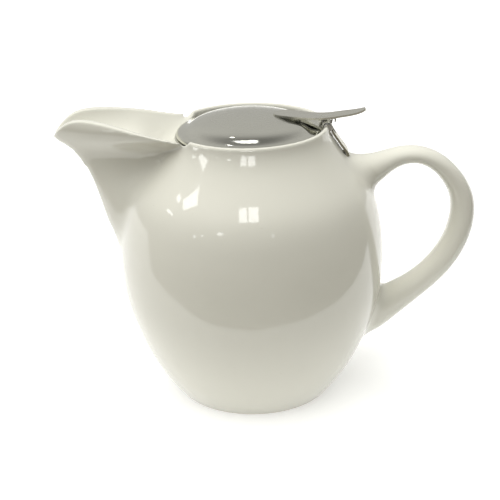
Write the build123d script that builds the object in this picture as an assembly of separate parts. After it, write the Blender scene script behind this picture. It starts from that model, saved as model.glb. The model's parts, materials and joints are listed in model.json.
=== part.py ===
from build123d import *
import math
import os

os.makedirs("parts", exist_ok=True)

# Teapot with a hinged steel lid and a lift-out infuser.
# Millimetres, +Z up, origin at the centre of the foot on the table.
# The spout points along -X, the handle along +X, and the pot is symmetric about Y = 0.

# ---- porcelain pot ----
FOOT_R = 37.5            # outer radius of the foot ring
FOOT_RING_R = 32.0       # inner radius of the foot ring
FOOT_RECESS = 2.0        # height of the recess under the base
BELLY_R = 63.0
BELLY_Z = 72.0
WALL = 4.0               # thickness of the porcelain wall
FLOOR_Z = 7.0            # inside floor of the pot
LIP_R = 36.4             # radius of the lip's crown
LIP_Z = 133.0            # height of the lip's crown
LIP_ROUND = 1.2
SEAT_Z = 127.4           # ledge that carries the infuser's rim
THROAT_R = 33.2          # clear radius below the ledge
LEDGE = 3.6              # thickness of the ledge
NECK_Z = 112.0           # height where the neck starts, above the bowl

# ---- spout ----
TIP_S = 91.4             # reach of the spout's lip from the pot's axis
SPOUT_ROOT_S = 30.0      # where the spout's sections start, inside the body
NOSE_POWER = 0.62        # how bluntly each section closes at the nose

# ---- lid and lever ----
DOME_R = 34.0
DOME_TOP_Z = 138.0
DOME_BASE_Z = 128.8      # bottom of the lid's rounded edge
DOME_CENTRE_Z = 126.0    # height from which the dome's curve is drawn
DOME_POWER = 2.2         # squareness of the dome's curve, 2 being an ellipse
SHEET = 1.0              # steel sheet of the lid and hinge
LEVER_SHEET = 0.9
LEVER_TIP_X = 54.5

# ---- hinge ----
PIN_X = 36.3
PIN_Z = 132.0
PIN_R = 1.4
PIN_FIT = 0.05           # radial clearance of the knuckles on the pin
PIN_HEAD_R = 2.2
PIN_HEAD = 0.7
KNUCKLE_R = PIN_R + PIN_FIT + SHEET
LID_KNUCKLE = (3.5, 5.3)     # inner and outer |y| of the lid's two knuckles
STRAP_KNUCKLE = (2.4, 3.2)   # the same for the strap's two knuckles
STRAP_HALF = 5.0         # half the strap's width
WINDOW_R = 5.9           # reach of the strap's window, where the spring's end swings
NOTCH_HALF = 7.2         # half the width of the notch in the lip
NOTCH_Z = 129.2
WIRE_R = 0.4             # spring wire
COIL_R = 1.9             # radius of the spring coil's centre line
COIL_TURNS = 4
COIL_PITCH = 0.85
CURL_R = 0.85            # curl at the spring's moving end

# ---- infuser ----
RIM_R = 34.8
RIM_Z = SEAT_Z + 0.3     # underside of the infuser's rim
RIM_SHEET = 0.8
BASKET_TOP_R = 32.2      # outer radius of the basket under the rim
BASKET_FOOT_R = 29.6     # outer radius of the basket at its base
BASKET_SHEET = 0.6
COLLAR_Z = 116.0         # lower edge of the plain collar
BASKET_Z = 54.0          # lower edge of the basket wall
HOOP_HEIGHT = 4.0
SLOT_COUNT = 30
SLOT_ROWS = 5
SLOT_WIDTH = 1.2


def turned(profile):
    """Solid of revolution about Z from a face drawn as radius and height."""
    return revolve(Plane.XZ * profile, axis=Axis.Z)


def polygon(*points):
    return make_face(Polyline(*points, close=True))


def across(face, half_width):
    """Solid of a face drawn in x and z, running from -half_width to +half_width in y."""
    return extrude(Plane.XZ * face, amount=half_width, both=True)


def strip(path, thickness, half_width):
    """Bent sheet that follows a path drawn in x and z."""
    return across(trace(path, line_width=thickness), half_width)


def pin_cylinder(radius, y_low, y_high):
    """Cylinder on the hinge axis between two values of y."""
    middle = (y_low + y_high) / 2
    place = Pos(PIN_X, middle, PIN_Z) * Rot(90, 0, 0)
    return place * Cylinder(radius, y_high - y_low)


def both_sides(solid):
    return [solid, mirror(solid, about=Plane.XZ)]


def save(shape, name):
    export_step(shape, f"parts/{name}.step")


# ---------------------------------------------------------------- porcelain body

def outer_curve():
    """Outside of the pot from just above the foot to just below the lip."""
    return Spline(
        (FOOT_R + 0.7, 1.2), (51.7, 22), (57.4, 36), (61.4, 50), (BELLY_R, BELLY_Z),
        (60.9, 90), (56.1, 103.5), (50.0, 112), (44.7, 118.6), (41.2, 123.4), (38.9, 127.5),
        (LIP_R + LIP_ROUND, LIP_Z - LIP_ROUND),
    )


def inner_point(curve, position):
    """Point one wall thickness inside the outer curve."""
    point = curve @ position
    along = curve % position
    return (point.X - along.Y * WALL, point.Y + along.X * WALL)


def lip_outer_arc(outer):
    """Outer quarter of the rounded lip."""
    middle = LIP_ROUND * math.sqrt(0.5)
    return ThreePointArc(outer @ 1, (LIP_R + middle, LIP_Z - LIP_ROUND + middle), (LIP_R, LIP_Z))


def body_blank():
    """The body as if it were full, used to trim what joins it from outside."""
    outer = outer_curve()
    edges = [
        outer,
        lip_outer_arc(outer),
        Line((LIP_R, LIP_Z), (0, LIP_Z)),
        Line((0, LIP_Z), (0, 1.2)),
        Line((0, 1.2), outer @ 0),
    ]
    return turned(make_face(edges))


def inside_face():
    """Half section of the room inside the pot, up to the lip."""
    curve = outer_curve()
    positions = (0.9, 0.78, 0.62, 0.45, 0.3, 0.2, 0.12)
    side = Spline(*[inner_point(curve, position) for position in positions])
    floor_r = (side @ 1).X - 10
    corner = Spline(side @ 1, (floor_r, FLOOR_Z), tangents=[side % 1, (-1, 0)])
    ledge_z = SEAT_Z - LEDGE
    edges = [
        Line((0, LIP_Z + 4), (LIP_R - LIP_ROUND, LIP_Z + 4)),
        Line((LIP_R - LIP_ROUND, LIP_Z + 4), (LIP_R - LIP_ROUND, SEAT_Z)),
        Line((LIP_R - LIP_ROUND, SEAT_Z), (THROAT_R, SEAT_Z)),
        Line((THROAT_R, SEAT_Z), (THROAT_R, ledge_z)),
        Line((THROAT_R, ledge_z), side @ 0),
        side,
        corner,
        Line((floor_r, FLOOR_Z), (0, FLOOR_Z)),
        Line((0, FLOOR_Z), (0, LIP_Z + 4)),
    ]
    return make_face(edges)


def body_shell():
    outer = outer_curve()
    lip_inner = (LIP_R - LIP_ROUND, LIP_Z - LIP_ROUND)
    middle = LIP_ROUND * math.sqrt(0.5)
    edges = [
        Line((0, FOOT_RECESS), (FOOT_RING_R - 0.8, FOOT_RECESS)),
        Line((FOOT_RING_R - 0.8, FOOT_RECESS), (FOOT_RING_R, 0.6)),
        ThreePointArc((FOOT_RING_R, 0.6), (FOOT_RING_R + 0.2, 0.15), (FOOT_RING_R + 0.7, 0)),
        Line((FOOT_RING_R + 0.7, 0), (FOOT_R - 0.8, 0)),
        ThreePointArc((FOOT_R - 0.8, 0), (FOOT_R + 0.2, 0.35), outer @ 0),
        outer,
        lip_outer_arc(outer),
        ThreePointArc((LIP_R, LIP_Z), (lip_inner[0] + LIP_ROUND - middle, lip_inner[1] + middle), lip_inner),
        Line(lip_inner, (0, LIP_Z - LIP_ROUND)),
        Line((0, LIP_Z - LIP_ROUND), (0, FOOT_RECESS)),
    ]
    full = turned(make_face(edges))
    return full - turned(inside_face())


def neck_zone():
    """Everything above the height where the neck starts."""
    return Pos(0, 0, NECK_Z + 50) * Box(300, 300, 100)


def hinge_notch():
    """Notch in the back of the lip for the hinge, sloping out to the shoulder."""
    profile = polygon(
        (THROAT_R, NOTCH_Z), (36.9, NOTCH_Z), (41.1, 125.0), (50, 125.0), (50, 140), (THROAT_R, 140),
    )
    return across(profile, NOTCH_HALF)


# ---------------------------------------------------------------- spout

def spout_section(height, nose, root_half, power=NOSE_POWER):
    """Closed outline at one height: a blunt wedge that points along -X."""
    length = nose - SPOUT_ROOT_S
    side = []
    for share in (0.0, 0.35, 0.68, 0.9, 0.985):
        half = root_half * (1 - share) ** power
        side.append((-SPOUT_ROOT_S - share * length, half))
    points = side + [(-nose, 0)] + [(x, -y) for x, y in reversed(side)]
    edges = [Spline(*points), Line(points[-1], points[0])]
    return Pos(0, 0, height) * make_face(edges)


def spout_blank():
    """Beak with a keel that leaves the belly and flares towards the lip."""
    # height, reach of the nose from the axis, half width at the root
    levels = [
        (64, 60.5, 29), (70, 63.6, 30), (80, 66.3, 31), (92, 69.8, 30), (104, 73.2, 23), (112, 76.2, 16.5),
        (118, 79.2, 14), (123.5, 84.0, 15), (127, 88.4, 18.5), (131, 92.0, 23.6), (134, 93.6, 26.2),
        (138, 94.6, 26.2), (143, 95.0, 25),
    ]
    return loft([spout_section(*level) for level in levels])


def above_rim():
    """Everything above the spout's rim, which climbs from the lip and drops at the nose."""
    rim = Spline(
        (-26, 131.6), (-34, 132.4), (-49, 135.5), (-62, 138.3), (-75, 139.8), (-82, 138.7),
        (-87, 135.3), (-TIP_S, 130.2), (-97, 122.5),
    )
    roof = Polyline(rim @ 1, (-97, 160), (-26, 160), rim @ 0)
    return across(make_face([rim, roof]), 60)


def channel():
    """Trough that opens into the pot under the infuser's rim and runs out over the spout's nose."""
    # distance from the axis, height of the floor, bend of the floor's parabola, half width
    stations = [
        (26, 121.5, 0.0200, 26), (34, 121.6, 0.0225, 25), (41, 121.4, 0.0298, 25), (50, 127.0, 0.026, 22.5),
        (60, 129.6, 0.041, 17), (70, 131.0, 0.0875, 11.5), (79, 131.5, 0.168, 8.3),
        (86, 131.0, 0.25, 6.4), (TIP_S, 130.1, 0.3, 6), (100, 128, 0.3, 6),
    ]
    sections = []
    for reach, floor, bend, half in stations:
        side = floor + bend * half * half
        edges = [
            Bezier((-half, side), (0, 2 * floor - side), (half, side)),
            Line((half, side), (half, 175)),
            Line((half, 175), (-half, 175)),
            Line((-half, 175), (-half, side)),
        ]
        plane = Plane(origin=(-reach, 0, 0), x_dir=(0, 1, 0), z_dir=(1, 0, 0))
        sections.append(plane * make_face(edges))
    return loft(sections)


def beak_hollow():
    """Hollow of the beak under the channel, one wall inside its outside."""
    levels = [(82, 59.5, 25), (92, 64.0, 24), (104, 67.5, 18), (110, 68.5, 12), (115.5, 64, 9)]
    return loft([spout_section(*level) for level in levels])


# ---------------------------------------------------------------- handle

def handle_blank():
    """Loop of elliptical section, wide where it joins the body."""
    # centre x, centre z, direction of the loop in degrees, half thickness, half width
    stations = [
        (48, 106.5, 18, 11.0, 10.0), (58, 110.0, 26, 7.6, 8.6), (67, 114.4, 20, 4.9, 7.4),
        (76.5, 116.4, -1, 4.1, 7.0), (86.5, 113.4, -31, 4.3, 7.0), (94.6, 106.0, -56, 4.9, 7.2),
        (100.2, 95.5, -79, 5.6, 7.5), (100.9, 85.0, -96, 6.0, 7.7), (97.8, 73.0, -112, 6.1, 7.8),
        (90.4, 60.8, -128, 6.1, 7.9), (79.3, 50.2, -140, 6.3, 8.2), (67.5, 42.2, -148, 8.0, 9.0),
        (55, 35.5, -151, 10.5, 10.5), (43, 29.5, -155, 12, 12),
    ]
    sections = []
    for x, z, angle, thickness, width in stations:
        turn = math.radians(angle)
        along = (math.cos(turn), 0, math.sin(turn))
        plane = Plane(origin=(x, 0, z), x_dir=(0, 1, 0), z_dir=along)
        sections.append(plane * Ellipse(width, thickness))
    return loft(sections)


# ---------------------------------------------------------------- lid

def dome_curve(radius, top, base):
    """Half section of the dome: flat on top, steep at the edge."""
    points = []
    for share in (0, 0.2, 0.4, 0.6, 0.78, 0.9):
        rise = (1 - share ** DOME_POWER) ** (1 / DOME_POWER)
        points.append((radius * share, base + (top - base) * rise))
    return points


def lid_dome():
    """Pressed dome with a rounded edge."""
    foot = DOME_BASE_Z + SHEET / 2
    down = [(1, 0), (0, -1)]
    outer_points = dome_curve(DOME_R, DOME_TOP_Z, DOME_CENTRE_Z)
    inner_points = dome_curve(DOME_R - SHEET, DOME_TOP_Z - SHEET, DOME_CENTRE_Z - SHEET)
    outside = Spline(*outer_points, (DOME_R, foot), tangents=down)
    inside = Spline(*inner_points, (DOME_R - SHEET, foot), tangents=down)
    edges = [
        outside,
        ThreePointArc(outside @ 1, (DOME_R - SHEET / 2, DOME_BASE_Z), inside @ 1),
        inside,
        Line(inside @ 0, outside @ 0),
    ]
    return turned(make_face(edges))


def lever_curve():
    return Spline(
        (9, 137.35), (13.5, 137.6), (18.8, 137.45), (28.2, 136.25), (32.8, 136.05),
        (37.5, 136.15), (42, 136.65), (47.7, 137.35), (52.4, 138.3), (LEVER_TIP_X, 139.05),
    )


def thumb_lever():
    """Strip that leaves the dome flush and runs back over the hinge to a rounded thumb end."""
    sheet = strip(lever_curve(), LEVER_SHEET, 9)
    nose = [(11.5, 0), (12.6, 2.6), (15.5, 4.7), (19.5, 5.8)]
    thumb_end = [(47.7, 3.7), (52.2, 2.6), (54.1, 1.4), (LEVER_TIP_X + 0.2, 0)]
    edge = Spline(*nose, (28.2, 5.2), (37.5, 4.4), *thumb_end)
    outline = make_face([edge, mirror(edge, about=Plane.XZ)])
    blade = sheet & extrude(Pos(0, 0, 130) * outline, amount=15)
    return blade - lid_dome()


def knuckles(span):
    """Pair of rolled eyes round the pin, each spanning the given |y|."""
    eye = pin_cylinder(KNUCKLE_R, *span) - pin_cylinder(PIN_R + PIN_FIT, span[0] - 1, span[1] + 1)
    return both_sides(eye)


def lid_leaf():
    """Hinge leaf: follows the dome's flank and rolls round the pin as two knuckles."""
    radius = KNUCKLE_R - SHEET / 2
    under = math.radians(238)
    meet = (PIN_X + radius * math.cos(under), PIN_Z + radius * math.sin(under))
    flank = Spline((24, 135.65), (28, 134.15), (31, 132.6), meet, tangents=[(1, -0.3), (0.85, -0.53)])
    leaf = strip(flank, SHEET, LID_KNUCKLE[1])
    leaf -= pin_cylinder(PIN_R + PIN_FIT, -8, 8)
    leaf -= pin_cylinder(KNUCKLE_R + 0.5, -LID_KNUCKLE[0], LID_KNUCKLE[0])
    return leaf + knuckles(LID_KNUCKLE)


# ---------------------------------------------------------------- hinge on the pot

def strap_path():
    """Line of the strap from the pin's side, over the lip and down the shoulder."""
    radius = KNUCKLE_R - SHEET / 2
    return Spline(
        (PIN_X + radius, PIN_Z), (38.85, 129.6), (40.7, 126.6), (43.2, 122.8), (45.8, 119.0),
        tangents=[(0, -1), (0.5, -0.85)],
    )


def strap_tail():
    """Last bend of the strap, into the slot at the root of the handle."""
    return Polyline((45.8, 119.0), (46.1, 118.3), (43.2, 116.5))


def hinge_strap():
    strap = strip(strap_path() + strap_tail(), SHEET, STRAP_HALF)
    strap -= both_sides(pin_cylinder(KNUCKLE_R + 0.5, STRAP_KNUCKLE[1], STRAP_HALF + 1))
    strap -= pin_cylinder(WINDOW_R, -STRAP_KNUCKLE[0], STRAP_KNUCKLE[0])
    strap -= pin_cylinder(PIN_R + PIN_FIT, -STRAP_HALF, STRAP_HALF)
    return strap + knuckles(STRAP_KNUCKLE)


def strap_slot():
    return strip(strap_tail(), SHEET + 0.6, STRAP_HALF + 0.3)


def hinge_pin():
    reach = LID_KNUCKLE[1] + 0.3
    pin = pin_cylinder(PIN_R, -reach, reach)
    head = pin_cylinder(PIN_HEAD_R, reach, reach + PIN_HEAD)
    outer_edge = head.edges().sort_by(Axis.Y)[-1]
    head = fillet(outer_edge, PIN_HEAD * 0.6)
    return pin + both_sides(head)


def spring_coil():
    """Turns of the torsion spring round the pin."""
    height = COIL_TURNS * COIL_PITCH
    helix = Helix(COIL_PITCH, height, COIL_R)
    wire = Plane(origin=helix @ 0, z_dir=helix % 0) * Circle(WIRE_R)
    coil = sweep(wire, path=helix, is_frenet=True)
    return Pos(PIN_X, height / 2, PIN_Z) * Rot(90, 0, 0) * coil


def spring_leg():
    """Moving end of the spring: rises beside the coil and curls under the lever."""
    start = (COIL_R + 0.7, 1.6)
    turn = (start[0], 2.35)
    path = Line(start, turn) + ThreePointArc(
        turn, (turn[0] + CURL_R, turn[1] + CURL_R), (turn[0] + 2 * CURL_R, turn[1]),
    )
    wire = Plane(origin=start, x_dir=(1, 0), z_dir=(0, 1, 0)) * Circle(WIRE_R)
    leg = Plane.XZ * sweep(wire, path=path)
    return Pos(PIN_X, WIRE_R - COIL_TURNS * COIL_PITCH / 2, PIN_Z) * leg


# ---------------------------------------------------------------- infuser

def basket_r(height):
    """Outer radius of the tapered basket at one height."""
    share = (RIM_Z - height) / (RIM_Z - BASKET_Z)
    return BASKET_TOP_R + (BASKET_FOOT_R - BASKET_TOP_R) * share


def infuser_rim():
    """Flat flange with a small rolled edge."""
    top = RIM_Z + RIM_SHEET
    flange = polygon(
        (BASKET_TOP_R - BASKET_SHEET, RIM_Z), (RIM_R - 0.5, RIM_Z), (RIM_R, RIM_Z + 0.4),
        (RIM_R - 0.5, top), (BASKET_TOP_R - BASKET_SHEET, top),
    )
    return turned(flange)


def cone_band(low, high, grow=0.0, sheet=BASKET_SHEET):
    """Band of the basket between two heights, grown outwards or inwards."""
    r_low, r_high = basket_r(low) + grow, basket_r(high) + grow
    return turned(polygon((r_low - sheet, low), (r_low, low), (r_high, high), (r_high - sheet, high)))


def infuser_wall():
    """Basket wall with rows of upright slots."""
    wall = cone_band(BASKET_Z, COLLAR_Z)
    pitch = (COLLAR_Z - BASKET_Z - HOOP_HEIGHT - 4) / SLOT_ROWS
    slots = []
    for row in range(SLOT_ROWS):
        z = BASKET_Z + HOOP_HEIGHT + 2 + pitch * (row + 0.5)
        shift = 180 / SLOT_COUNT * (row % 2)
        for index in range(SLOT_COUNT):
            turn = Rot(0, 0, shift + 360 / SLOT_COUNT * index)
            slots.append(turn * Pos(BASKET_TOP_R - 2, 0, z) * Box(6, SLOT_WIDTH, pitch - 2.4))
    return wall - slots


def infuser_base():
    """Shallow dished base with rings of round drain holes."""
    outer = basket_r(BASKET_Z) - BASKET_SHEET - 0.05
    z = BASKET_Z + 0.6
    disc = turned(polygon((0, z + 1.5), (outer * 0.45, z + 1.1), (outer, z), (outer, z + 0.7),
                          (outer * 0.45, z + 1.8), (0, z + 2.2)))
    holes = []
    for ring in range(1, 5):
        count = 6 * ring
        for index in range(count):
            holes.append(Rot(0, 0, 360 / count * index) * Pos(5.6 * ring, 0, z) * Cylinder(0.9, 10))
    return disc - holes


def infuser_hoop():
    """Band round the foot of the basket that joins wall and base."""
    return cone_band(BASKET_Z - 0.4, BASKET_Z + HOOP_HEIGHT, grow=0.65)


# ---------------------------------------------------------------- assembly

blank = body_blank()
trough = channel()
hollow = beak_hollow()

vessel = body_shell() - hinge_notch() - trough - hollow - strap_slot()
body = vessel - neck_zone()
neck = vessel & neck_zone()
spout = spout_blank() - blank - above_rim() - trough - hollow
handle = handle_blank() - blank

save(body, "pot_body")
save(neck, "pot_neck")
save(spout, "pot_spout")
save(handle, "pot_handle")
save(lid_dome(), "lid_dome")
save(thumb_lever(), "thumb_lever")
save(lid_leaf(), "lid_hinge_leaf")
save(hinge_strap(), "hinge_strap")
save(hinge_pin(), "hinge_pin")
save(spring_coil(), "spring_coil")
save(spring_leg(), "spring_leg")
save(infuser_rim(), "infuser_rim")
save(cone_band(COLLAR_Z, RIM_Z), "infuser_collar")
save(infuser_wall(), "infuser_wall")
save(infuser_hoop(), "infuser_hoop")
save(infuser_base(), "infuser_base")
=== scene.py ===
import json
import math

import bmesh
import bpy
import numpy as np
from mathutils import Euler, Matrix, Vector
from mathutils.bvhtree import BVHTree
from mathutils.kdtree import KDTree

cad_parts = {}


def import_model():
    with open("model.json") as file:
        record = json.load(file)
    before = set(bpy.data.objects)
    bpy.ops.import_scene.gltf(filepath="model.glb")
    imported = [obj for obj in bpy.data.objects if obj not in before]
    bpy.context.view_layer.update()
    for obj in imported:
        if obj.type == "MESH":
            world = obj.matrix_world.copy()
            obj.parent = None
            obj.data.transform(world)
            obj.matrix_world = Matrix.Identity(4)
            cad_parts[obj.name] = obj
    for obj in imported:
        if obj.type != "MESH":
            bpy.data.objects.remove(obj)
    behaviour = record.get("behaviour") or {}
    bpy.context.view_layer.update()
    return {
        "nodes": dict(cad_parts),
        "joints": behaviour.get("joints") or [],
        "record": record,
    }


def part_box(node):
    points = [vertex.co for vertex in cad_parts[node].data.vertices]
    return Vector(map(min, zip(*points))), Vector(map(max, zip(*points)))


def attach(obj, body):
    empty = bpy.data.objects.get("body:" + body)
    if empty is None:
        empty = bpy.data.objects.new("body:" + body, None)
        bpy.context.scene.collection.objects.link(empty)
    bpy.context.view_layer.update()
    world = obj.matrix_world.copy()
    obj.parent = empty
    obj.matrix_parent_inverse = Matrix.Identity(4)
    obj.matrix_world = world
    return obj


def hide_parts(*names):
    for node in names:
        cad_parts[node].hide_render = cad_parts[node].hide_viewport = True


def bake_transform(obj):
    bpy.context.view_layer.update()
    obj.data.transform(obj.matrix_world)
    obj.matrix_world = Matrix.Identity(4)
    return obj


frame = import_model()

# Teapot with a sprung steel lid and an infuser. Metres, +Z up, spout along -X, handle along +X.

MM = 0.001
NODES = frame["nodes"]

VOXEL = 0.75 * MM
SHARP_ANGLE = math.radians(24)   # an edge bent more than this is a rim
RIM_FROM = 127 * MM              # everything above this height belongs to the rims
SEAM_REACH = 3 * MM              # how far from the neck's seam the glaze is evened out
FAR = 10 * MM                    # stands for "nowhere near a rim"

SKY_POWER = 4.05
ROOM_BASE = 0.14
ROOM = [                 # axis of the direction, where it starts and is full, how much it adds
    ("Z", 0.2, 0.95, 0.05), ("X", 0.0, -0.9, 0.12), ("Y", 0.1, 0.8, 0.38),
]


# ---------------------------------------------------------------- node material helpers

class Nodes:
    """Small helper to write a material's node tree in a few lines."""

    def __init__(self, name):
        self.material = bpy.data.materials.new(name)
        self.material.use_nodes = True
        self.tree = self.material.node_tree
        self.shader = self.tree.nodes["Principled BSDF"]
        self.place = self.tree.nodes.new("ShaderNodeTexCoord").outputs["Object"]

    def link(self, output, target):
        self.tree.links.new(output, target)

    def set(self, **values):
        for key, value in values.items():
            self.shader.inputs[key.replace("_", " ")].default_value = value

    def mapped(self, scale):
        node = self.tree.nodes.new("ShaderNodeMapping")
        node.inputs["Scale"].default_value = scale
        self.link(self.place, node.inputs["Vector"])
        return node.outputs["Vector"]

    def noise(self, scale, detail=2.0, vector=None, roughness=0.5):
        node = self.tree.nodes.new("ShaderNodeTexNoise")
        node.inputs["Scale"].default_value = scale
        node.inputs["Detail"].default_value = detail
        node.inputs["Roughness"].default_value = roughness
        self.link(vector or self.place, node.inputs["Vector"])
        return node.outputs["Fac"]

    def range(self, value, low, high, to_low, to_high):
        node = self.tree.nodes.new("ShaderNodeMapRange")
        settings = {"From Min": low, "From Max": high, "To Min": to_low, "To Max": to_high}
        for key, number in settings.items():
            node.inputs[key].default_value = number
        self.link(value, node.inputs["Value"])
        return node.outputs["Result"]

    def mix(self, factor, first, second):
        node = self.tree.nodes.new("ShaderNodeMix")
        node.data_type = "RGBA"
        self.link(factor, node.inputs["Factor"])
        for socket, value in ((node.inputs[6], first), (node.inputs[7], second)):
            if isinstance(value, tuple):
                socket.default_value = (*value, 1)
            else:
                self.link(value, socket)
        return node.outputs[2]

    def math(self, operation, first, second):
        node = self.tree.nodes.new("ShaderNodeMath")
        node.operation = operation
        for socket, value in zip(node.inputs, (first, second)):
            if isinstance(value, (int, float)):
                socket.default_value = value
            else:
                self.link(value, socket)
        return node.outputs[0]

    def height(self):
        node = self.tree.nodes.new("ShaderNodeSeparateXYZ")
        self.link(self.place, node.inputs[0])
        return node.outputs["Z"]

    def bump(self, value, distance, strength=1.0, under=None):
        node = self.tree.nodes.new("ShaderNodeBump")
        node.inputs["Distance"].default_value = distance
        node.inputs["Strength"].default_value = strength
        self.link(value, node.inputs["Height"])
        if under is not None:
            self.link(under, node.inputs["Normal"])
        return node.outputs["Normal"]


def porcelain():
    """White glaze with faint clouding, an orange-peel surface, sparse specks and a bare foot ring."""
    n = Nodes("porcelain_glaze")
    n.set(IOR=1.52, Coat_Weight=0.25, Coat_Roughness=0.03, Coat_IOR=1.5)
    cloud = n.range(n.noise(22, 3), 0.35, 0.65, 0, 1)
    glaze = n.mix(cloud, (0.665, 0.655, 0.575), (0.68, 0.67, 0.59))
    speck = n.range(n.noise(900, 1), 0.80, 0.84, 0, 0.5)
    glaze = n.mix(speck, glaze, (0.42, 0.36, 0.28))
    bare = n.range(n.height(), 0.0005, 0.0009, 1, 0)
    grain = n.range(n.noise(2500, 3), 0.3, 0.7, 0, 1)
    clay = n.mix(grain, (0.62, 0.58, 0.52), (0.72, 0.69, 0.63))
    n.link(n.mix(bare, glaze, clay), n.shader.inputs["Base Color"])
    gloss = n.range(n.noise(60, 4), 0.3, 0.7, 0.06, 0.11)
    n.link(n.math("MAXIMUM", gloss, n.math("MULTIPLY", bare, 0.75)), n.shader.inputs["Roughness"])
    waves = n.bump(n.noise(45, 1), 0.00006)
    n.link(n.bump(n.noise(420, 2), 0.000006, under=waves), n.shader.inputs["Normal"])
    return n.material


def steel(name, color, rough, scratch, stretch, polished_below=None):
    """Steel with a fine directional grain, faint smears and softly varying gloss."""
    n = Nodes(name)
    n.set(Metallic=1.0, IOR=2.5)
    grain = n.noise(1.0, 3, n.mapped(stretch), 0.6)
    smear = n.range(n.noise(35, 4), 0.35, 0.7, 0, 1)
    dark = tuple(c * 0.88 for c in color)
    tone = n.mix(n.range(grain, 0.3, 0.7, 0, 1), dark, color)
    n.link(n.mix(smear, tone, color), n.shader.inputs["Base Color"])
    both = n.math("ADD", n.math("MULTIPLY", grain, 0.6), n.math("MULTIPLY", smear, 0.4))
    gloss = n.range(both, 0.25, 0.75, rough[0], rough[1])
    if polished_below is not None:
        satin_share = n.range(n.height(), polished_below, polished_below + 0.0015, 0.3, 1)
        gloss = n.math("MULTIPLY", gloss, satin_share)
    n.link(gloss, n.shader.inputs["Roughness"])
    n.link(n.bump(grain, scratch), n.shader.inputs["Normal"])
    return n.material


# ---------------------------------------------------------------- mesh helpers

def new_object(name, mesh):
    piece = bpy.data.objects.new(name, mesh)
    bpy.context.scene.collection.objects.link(piece)
    return piece


def shade_smooth(mesh):
    mesh.polygons.foreach_set("use_smooth", np.ones(len(mesh.polygons), bool))


def points_of(mesh):
    co = np.zeros(len(mesh.vertices) * 3)
    mesh.vertices.foreach_get("co", co)
    return co.reshape(-1, 3)


def bake_modifiers(piece):
    """Replaces a piece's mesh with the result of its modifiers."""
    view = bpy.context.evaluated_depsgraph_get()
    mesh = bpy.data.meshes.new_from_object(piece.evaluated_get(view))
    piece.modifiers.clear()
    piece.data = mesh
    return mesh


def smooth(piece, weights, rounds, factor=0.5):
    """Evens out a mesh where the weights are high."""
    group = piece.vertex_groups.new(name="even")
    steps = np.round(np.clip(weights, 0, 1) * 20).astype(int)
    for step in range(1, 21):
        members = np.nonzero(steps == step)[0].tolist()
        if members:
            group.add(members, step / 20, "REPLACE")
    modifier = piece.modifiers.new("even", "SMOOTH")
    modifier.factor = factor
    modifier.iterations = rounds
    modifier.vertex_group = group.name
    mesh = bake_modifiers(piece)
    piece.vertex_groups.clear()
    return mesh


def ramp(values, low, high):
    share = np.clip((values - low) / (high - low), 0, 1)
    return share * share * (3 - 2 * share)


def copy_of_nodes(names):
    """One mesh that holds copies of CAD nodes."""
    joined = bmesh.new()
    for name in names:
        joined.from_mesh(NODES[name].data)
    bmesh.ops.remove_doubles(joined, verts=joined.verts, dist=1e-6)
    return joined


def settle(piece, names, weights, reach):
    """Puts points back on the CAD surface where the weights are high."""
    shape = copy_of_nodes(names)
    tree = BVHTree.FromBMesh(shape)
    points = points_of(piece.data)
    for index in np.nonzero(weights > 0)[0]:
        nearest = tree.find_nearest(Vector(points[index]), reach)[0]
        if nearest is not None:
            points[index] += weights[index] * (np.array(nearest) - points[index])
    shape.free()
    piece.data.vertices.foreach_set("co", points.ravel())
    piece.data.update()


def distance_to_nodes(points, names):
    shape = copy_of_nodes(names)
    tree = BVHTree.FromBMesh(shape)
    found = np.array([tree.find_nearest(Vector(p), 0.02)[3] or 0.02 for p in points])
    shape.free()
    return found


def sharp_points(names, angle):
    """Points along the sharp edges of the CAD nodes."""
    points = []
    for name in names:
        shape = copy_of_nodes([name])
        for edge in shape.edges:
            if len(edge.link_faces) == 2 and edge.calc_face_angle(0) > angle:
                a, b = edge.verts[0].co, edge.verts[1].co
                steps = max(1, int((b - a).length / 0.001))
                points += [a.lerp(b, i / steps) for i in range(steps + 1)]
        shape.free()
    tree = KDTree(len(points))
    for index, point in enumerate(points):
        tree.insert(point, index)
    tree.balance()
    return tree


# ---------------------------------------------------------------- porcelain

def pot():
    """Body, spout and handle as one fired piece with soft junctions and rounded rims."""
    vessel = ["pot_body", "pot_neck"]
    names = [*vessel, "pot_spout", "pot_handle"]
    mesh = bpy.data.meshes.new("porcelain_pot")
    shape = copy_of_nodes(names)
    shape.to_mesh(mesh)
    shape.free()
    piece = new_object("porcelain_pot", mesh)
    modifier = piece.modifiers.new("fuse", "REMESH")
    modifier.mode = "VOXEL"
    modifier.voxel_size = VOXEL
    mesh = bake_modifiers(piece)
    points = points_of(mesh)
    sharp = sharp_points(names, SHARP_ANGLE)
    to_sharp = np.array([sharp.find(p)[2] for p in points])
    to_sharp[points[:, 2] > RIM_FROM] = 0
    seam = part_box("pot_neck")[0][2]
    to_sharp[np.abs(points[:, 2] - seam) < SEAM_REACH] = FAR
    to_body = distance_to_nodes(points, vessel)
    to_spout = distance_to_nodes(points, ["pot_spout"])
    to_handle = distance_to_nodes(points, ["pot_handle"])
    spout_joint = 1 - ramp(np.maximum(to_body, to_spout), 2 * MM, 7 * MM)
    handle_joint = 1 - ramp(np.maximum(to_body, to_handle), 2 * MM, 7 * MM)
    below_rim = 1 - ramp(points[:, 2], 121 * MM, 128 * MM)
    joint = np.maximum(spout_joint * below_rim, handle_joint)
    smooth(piece, np.ones(len(points)), 3)
    smooth(piece, np.maximum(joint, ramp(to_sharp, 1.0 * MM, 3.5 * MM)), 40)
    smooth(piece, joint, 250)
    settle(piece, names, (1 - ramp(to_sharp, 2.0 * MM, 4.0 * MM)) * (1 - joint), 1 * MM)
    smooth(piece, np.ones(len(points)), 1)
    shade_smooth(piece.data)
    piece.data.materials.clear()
    piece.data.materials.append(porcelain())
    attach(piece, "pot")
    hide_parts(*names)
    return piece


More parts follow.
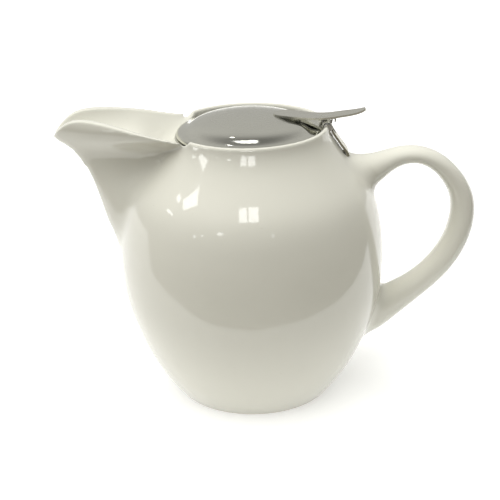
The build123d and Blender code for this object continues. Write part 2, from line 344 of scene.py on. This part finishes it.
# ---------------------------------------------------------------- spring

def tube(points, radius, sides=10):
    """Round wire along a list of points, closed at both ends."""
    points = [Vector(p) for p in points]
    shape = bmesh.new()
    rings = []
    normal = None
    for index, point in enumerate(points):
        ahead = points[min(index + 1, len(points) - 1)]
        behind = points[max(index - 1, 0)]
        along = (ahead - behind).normalized()
        if normal is None:
            normal = along.orthogonal().normalized()
        normal = (normal - along * normal.dot(along)).normalized()
        other = along.cross(normal)
        ring = []
        for side in range(sides):
            turn = 2 * math.pi * side / sides
            outward = normal * math.cos(turn) + other * math.sin(turn)
            ring.append(shape.verts.new(point + radius * outward))
        rings.append(ring)
    for first, second in zip(rings, rings[1:]):
        for side in range(sides):
            after = (side + 1) % sides
            shape.faces.new((first[side], first[after], second[after], second[side]))
    shape.faces.new(list(reversed(rings[0])))
    shape.faces.new(rings[-1])
    bmesh.ops.recalc_face_normals(shape, faces=shape.faces)
    mesh = bpy.data.meshes.new("wire")
    shape.to_mesh(mesh)
    shape.free()
    shade_smooth(mesh)
    return mesh


HINGE = next(joint for joint in frame["joints"] if joint["name"] == "lid_hinge")
PIN = Vector(HINGE["pos_m"])


def spring(material):
    """Torsion spring: a leg on the strap, four turns round the pin, a leg curled under the lever."""
    radius, pitch, turns, wire = 1.9 * MM, 0.85 * MM, 4, 0.38 * MM
    steps_per_turn = 26
    curl, curl_sweep, curl_steps = 0.85, 1.35 * math.pi, 12
    half = pitch * turns / 2

    def at(x, z, y):
        return PIN + Vector((x * MM, y * MM, z * MM))

    low, high = half / MM, -half / MM
    points = [at(3.3, -2.9, low), at(2.6, -1.6, low), at(2.05, -0.6, low)]
    for step in range(steps_per_turn * turns + 1):
        angle = 2 * math.pi * step / steps_per_turn
        along = half - pitch * step / steps_per_turn
        points.append(PIN + Vector((radius * math.cos(angle), along, radius * math.sin(angle))))
    points += [at(2.0, 0.8, high), at(2.2, 1.7, high + 0.1), at(2.35, 2.4, high + 0.2)]
    for step in range(1, curl_steps + 1):
        angle = math.pi - curl_sweep * step / curl_steps
        points.append(at(3.2 + curl * math.cos(angle), 2.4 + curl * math.sin(angle), high + 0.2))
    piece = new_object("hinge_spring", tube(points, wire))
    piece.data.materials.append(material)
    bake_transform(piece)
    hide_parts("spring_coil", "spring_leg")
    return piece


# ---------------------------------------------------------------- stage, light and camera

def floor():
    mesh = bpy.data.meshes.new("floor")
    size = 6
    corners = [(-size, -size, 0), (size, -size, 0), (size, size, 0), (-size, size, 0)]
    mesh.from_pydata(corners, [], [(0, 1, 2, 3)])
    piece = new_object("floor", mesh)
    n = Nodes("floor_paper")
    cloud = n.range(n.noise(3, 2), 0.3, 0.7, 0, 1)
    n.link(n.mix(cloud, (0.60, 0.60, 0.59), (0.63, 0.63, 0.62)), n.shader.inputs["Base Color"])
    n.set(Roughness=0.9, Emission_Color=(1, 1, 0.98, 1), Emission_Strength=0.48)
    mesh.materials.append(n.material)


def area_light(name, direction, size, radiance, receiver, color=(1, 1, 1)):
    """Bright patch away from the pot, seen only as a reflection in one group of pieces."""
    middle = Vector((0, 0, 0.11))
    distance = 1.5
    away = Vector(direction).normalized()
    light = bpy.data.lights.new(name, "AREA")
    light.shape = "RECTANGLE"
    light.size, light.size_y = size
    light.energy = math.pi * radiance * size[0] * size[1]
    light.color = color
    lamp = new_object(name, light)
    lamp.location = middle + distance * away
    lamp.rotation_euler = (-away).to_track_quat("-Z", "Y").to_euler()
    lamp.visible_diffuse = False
    lamp.visible_shadow = False
    lamp.light_linking.receiver_collection = receiver
    return lamp


def near_window(name, middle, spot, along, size, radiance, receiver):
    """Small bright pane close to the glaze. Places and sizes are in millimetres."""
    lamp = area_light(name, (0, 0, 1), [side * MM for side in size], radiance, receiver)
    lamp.visible_camera = False
    back = (Vector(middle) - Vector(spot)).normalized()
    along = Vector(along)
    along = (along - back * along.dot(back)).normalized()
    axes = Matrix((along.cross(back), along, back)).transposed()
    lamp.location = MM * Vector(middle)
    lamp.rotation_euler = axes.to_euler()


def group(name, pieces):
    found = bpy.data.collections.new(name)
    for piece in pieces:
        found.objects.link(piece)
    return found


def lights(glazed, metal):
    glazed = group("glazed", [glazed])
    metal = group("metal", metal)
    sky = bpy.data.lights.new("sky", "SUN")
    sky.energy = SKY_POWER
    sky.angle = math.radians(80)
    sky.color = (1, 1, 0.99)
    lamp = new_object("sky", sky)
    lamp.visible_glossy = False
    lamp.rotation_euler = Vector((0.15, 0.12, -1)).to_track_quat("-Z", "Y").to_euler()
    neck = (0, -40, 126)
    neck_left = (-21, -37, 122)
    near_window("tall_window", (-67, -51.6, 148.8), neck_left, (19, -9, 14), (11, 18), 5.5, glazed)
    near_window("front_window_left", (-10, -89, 151.8), neck, (0, 14, 20), (9.5, 20), 6, glazed)
    near_window("front_window_right", (2.8, -89, 151.8), neck, (0, 14, 20), (12, 20), 6, glazed)
    near_window("side_window", (-77, -37, 145), (-32, -39, 112), (5, -22, -2), (4, 7), 5, glazed)
    near_window("far_window", (-86, -41, 132), (-36, -41, 106), (5, -22, -2), (3.5, 12), 5, glazed)
    area_light("lamp_a", (-0.439, -0.802, 0.405), (0.13, 0.09), 6, glazed)
    area_light("lamp_b", (-0.671, -0.673, 0.31), (0.05, 0.06), 5, glazed)
    area_light("lamp_c", (-0.76, -0.60, 0.26), (0.05, 0.06), 5, glazed)
    area_light("lamp_d", (0.306, -0.877, 0.371), (0.06, 0.09), 3, glazed)
    ceiling = area_light("ceiling_strip", (-0.22, 0.0, 0.975), (1.0, 0.5), 2.2, metal)
    ceiling.rotation_euler = (0, 0, 0)
    area_light("ceiling_lamp", (-0.17, 0.44, 0.88), (0.06, 0.06), 9, metal)


def front_table():
    """Darker table beyond the white paper, not seen by the camera itself."""
    edge = [
        (-6, 1.2), (-1.5, 0.25), (-0.30, -0.02), (-0.169, -0.109), (-0.096, -0.122),
        (-0.032, -0.132), (0.047, -0.134), (0.12, -0.107), (0.19, -0.05), (0.247, 0.015),
        (0.5, 0.25), (1.5, 0.9), (6, 3.6), (6, -6), (-6, -6),
    ]
    above_floor = 0.0004
    mesh = bpy.data.meshes.new("front_table")
    mesh.from_pydata([(x, y, above_floor) for x, y in edge], [], [tuple(range(len(edge)))])
    piece = new_object("front_table", mesh)
    n = Nodes("table_edge")
    n.set(Base_Color=(0, 0, 0, 1), Specular_IOR_Level=0.0, Emission_Strength=1.0)
    cloud = n.range(n.noise(6, 2), 0.3, 0.7, 0, 1)
    n.link(n.mix(cloud, (0.32, 0.30, 0.26), (0.38, 0.36, 0.31)), n.shader.inputs["Emission Color"])
    mesh.materials.append(n.material)
    for ray in ("camera", "shadow", "transmission", "volume_scatter"):
        setattr(piece, "visible_" + ray, False)


def world():
    """Room light: brighter overhead and to the left, dimmer behind the camera."""
    scene_world = bpy.data.worlds.new("studio")
    bpy.context.scene.world = scene_world
    scene_world.use_nodes = True
    tree = scene_world.node_tree
    back = tree.nodes["Background"]
    place = tree.nodes.new("ShaderNodeTexCoord")
    split = tree.nodes.new("ShaderNodeSeparateXYZ")
    tree.links.new(place.outputs["Generated"], split.inputs[0])
    total = None
    for axis, low, high, gain in ROOM:
        part = tree.nodes.new("ShaderNodeMapRange")
        part.interpolation_type = "SMOOTHSTEP"
        part.inputs["From Min"].default_value = low
        part.inputs["From Max"].default_value = high
        part.inputs["To Max"].default_value = gain
        tree.links.new(split.outputs[axis], part.inputs["Value"])
        if total is None:
            total = part.outputs["Result"]
        else:
            add = tree.nodes.new("ShaderNodeMath")
            tree.links.new(total, add.inputs[0])
            tree.links.new(part.outputs["Result"], add.inputs[1])
            total = add.outputs[0]
    base = tree.nodes.new("ShaderNodeMath")
    base.inputs[1].default_value = ROOM_BASE
    tree.links.new(total, base.inputs[0])
    tree.links.new(base.outputs[0], back.inputs["Strength"])
    back.inputs["Color"].default_value = (1, 0.985, 0.95, 1)


def camera():
    data = bpy.data.cameras.new("camera")
    data.sensor_width = 36
    data.lens = 93.79
    data.clip_end = 50
    piece = new_object("camera", data)
    piece.location = (-0.001, -0.5831, 0.3098)
    level = Euler((math.radians(90 - 22.38), 0, 0)).to_matrix()
    piece.rotation_euler = (level @ Matrix.Rotation(math.radians(-1.53), 3, "Z")).to_euler()
    bpy.context.scene.camera = piece


SATIN_GLOSS = (0.23, 0.30)
FINE_SCRATCH = 0.000001
ALONG_X = (150, 1800, 1800)      # grain scales per metre: long strokes in the small direction
ALONG_Y = (1800, 150, 1800)
POLISHED_EDGE = 0.1351           # height below which the dome's edge is polished

satin = steel("satin_steel", (0.75, 0.745, 0.67), SATIN_GLOSS, FINE_SCRATCH, ALONG_X)
strap_steel = steel("strap_steel", (0.42, 0.40, 0.31), (0.24, 0.34), FINE_SCRATCH, ALONG_Y)
dome_steel = steel("dome_steel", (0.73, 0.73, 0.66), SATIN_GLOSS, FINE_SCRATCH, ALONG_X, POLISHED_EDGE)
polished = steel("polished_steel", (0.60, 0.59, 0.57), (0.12, 0.24), 0.000002, (400, 2500, 400))

for node, piece in NODES.items():
    slot = next(s["material_slot"] for s in frame["record"]["subparts"] if s["node"] == node)
    if slot != "porcelain":
        piece.data.materials.clear()
        piece.data.materials.append(polished if slot == "polished_steel" else satin)
NODES["lid_dome"].data.materials[0] = dome_steel
NODES["hinge_strap"].data.materials[0] = strap_steel

glazed = pot()
spring(polished)
floor()
front_table()
lights(glazed, [piece for node, piece in NODES.items() if not node.startswith("pot_")])
world()
camera()
bpy.context.scene.view_settings.view_transform = "Standard"
